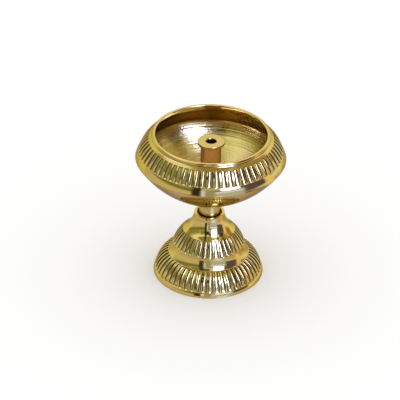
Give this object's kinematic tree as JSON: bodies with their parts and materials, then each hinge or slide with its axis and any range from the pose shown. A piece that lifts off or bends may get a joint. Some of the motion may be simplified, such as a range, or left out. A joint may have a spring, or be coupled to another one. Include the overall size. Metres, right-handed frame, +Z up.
{
  "type": "pedestal oil lamp",
  "caption": "Small polished brass oil lamp: open fluted bowl with a central wick post, screwed through a knurled collar and short neck to a hollow fluted bell base.",
  "frame": {"origin": "centre of the circle on which the foot stands", "axes": "+Z up along the common axis of every turned piece; X and Y are equivalent"},
  "size_m": [0.072, 0.0718, 0.0763],
  "materials": {
    "polished_brass": "turned and polished, bright, in bands of milled flutes",
    "bowl_brass": "polished outside, fine turning lines inside",
    "neck_brass": "fine turned",
    "knurled_brass": "diamond knurled",
    "post_brass": "turned, satin on the flat head",
    "fibre": "pressed vulcanised fibre"
  },
  "bodies": {
    "base": {"base": "polished_brass"},
    "spindle": {"neck_spindle": "neck_brass"},
    "bowl": {"bowl": "bowl_brass", "knurled_collar": "knurled_brass"},
    "seal": {"post_seal": "fibre"},
    "wick_post": {"wick_post": "post_brass"}
  },
  "joints": [
    {"name": "bowl_lift", "type": "slide", "parent": "base", "child": "spindle", "axis": [0, 0, 1], "range_m": [0, 0.0088]},
    {"name": "bowl_turn", "type": "hinge", "parent": "spindle", "child": "bowl", "pos_m": [0, 0, 0.0335], "axis": [0, 0, 1], "range_deg": [0, 2520]},
    {"name": "post_lift", "type": "slide", "parent": "bowl", "child": "seal", "axis": [0, 0, 1], "range_m": [0, 0.0071]},
    {"name": "post_turn", "type": "hinge", "parent": "seal", "child": "wick_post", "pos_m": [0, 0, 0.058], "axis": [0, 0, 1], "range_deg": [0, 2520]}
  ],
  "couplings": [
    {"joint": "bowl_lift", "follows": "bowl_turn", "m_per_rad": 0.00019894},
    {"joint": "post_lift", "follows": "post_turn", "m_per_rad": 0.00015915}
  ]
}
